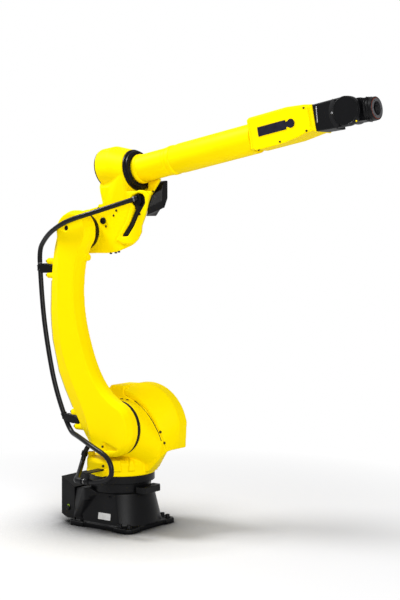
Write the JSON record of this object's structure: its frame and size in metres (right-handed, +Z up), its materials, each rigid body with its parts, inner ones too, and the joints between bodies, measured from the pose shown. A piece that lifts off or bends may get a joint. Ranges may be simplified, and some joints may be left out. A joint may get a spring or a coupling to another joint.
{
  "type": "industrial robot arm",
  "caption": "Floor-mounted jointed robot arm with a curved lower arm, a long slim forearm, a hollow wrist and a hose clipped along its side.",
  "frame": {"origin": "on the floor face of the base, under the axis of the turning column", "axes": "+X the way the arm points at rest, +Y to the arm's left, +Z up"},
  "size_m": [1.6129, 0.418, 1.7579],
  "materials": {
    "yellow_paint": "satin",
    "black_paint": "satin",
    "black_plastic": "matt",
    "seal_rubber": "matt",
    "hose_rubber": "satin",
    "bracket_steel": "satin",
    "flange_steel": "brushed",
    "red_seal": "satin",
    "plate_grey": "satin",
    "plate_dark": "satin"
  },
  "bodies": {
    "base": {"base_casting": "black_paint", "base_ring": "black_paint", "stop_block": "black_paint", "connector_box": "black_paint", "connector_box_lid": "black_paint", "service_socket": "black_plastic", "base_plate": "plate_grey"},
    "column": {"column_casting": "yellow_paint", "shoulder_cover": "yellow_paint", "shoulder_seal": "seal_rubber", "hose_outlet": "hose_rubber", "hose_loop": "hose_rubber", "hose_fitting": "hose_rubber", "outlet_hose_clip": "black_plastic", "hose_bracket": "bracket_steel", "column_hose_clip": "black_plastic"},
    "lower_arm": {"lower_arm": "yellow_paint", "arm_rear_cover": "yellow_paint", "upper_hose_clip": "black_plastic", "lower_hose_clip": "black_plastic", "hose_arm_run": "hose_rubber", "hose_elbow_span": "hose_rubber"},
    "elbow": {"elbow_housing": "yellow_paint", "elbow_seal": "seal_rubber", "elbow_rear_cover": "black_plastic", "elbow_plug": "black_plastic", "roll_ring": "black_plastic", "roll_motor_cover": "black_plastic", "slot_hose_clip": "black_plastic", "hose_slot_run": "hose_rubber"},
    "forearm": {"forearm_rear_tube": "yellow_paint", "forearm_front_tube": "yellow_paint", "wrist_housing": "yellow_paint", "wrist_side_cover": "yellow_paint", "blank_plate": "plate_dark", "wrist_yoke": "black_paint", "yoke_cover_near": "black_paint", "yoke_cover_far": "black_paint"},
    "wrist": {"wrist_body": "black_paint", "flange_seal": "red_seal"},
    "flange": {"tool_flange": "flange_steel"}
  },
  "joints": [
    {"name": "column_turn", "type": "hinge", "parent": "base", "child": "column", "pos_m": [0, 0, 0], "axis": [0, 0, 1], "range_deg": [-170, 170]},
    {"name": "lower_arm_swing", "type": "hinge", "parent": "column", "child": "lower_arm", "pos_m": [0.075, 0, 0.425], "axis": [0, 1, 0], "range_deg": [-40, 90], "deforming": ["hose_loop"]},
    {"name": "forearm_lift", "type": "hinge", "parent": "lower_arm", "child": "elbow", "pos_m": [-0.12964, 0, 1.23969], "axis": [0, -1, 0], "range_deg": [-70, 150], "deforming": ["hose_elbow_span"]},
    {"name": "forearm_roll", "type": "hinge", "parent": "elbow", "child": "forearm", "pos_m": [-0.16974, 0, 1.45092], "axis": [0.9825, 0, 0.1865], "range_deg": [-200, 200]},
    {"name": "wrist_bend", "type": "hinge", "parent": "forearm", "child": "wrist", "pos_m": [1.14674, 0, 1.70086], "axis": [0, -1, 0], "range_deg": [-95, 105]},
    {"name": "flange_turn", "type": "hinge", "parent": "wrist", "child": "flange", "pos_m": [1.24629, 0, 1.71036], "axis": [0.9955, 0, 0.095], "range_deg": [-270, 270]}
  ]
}
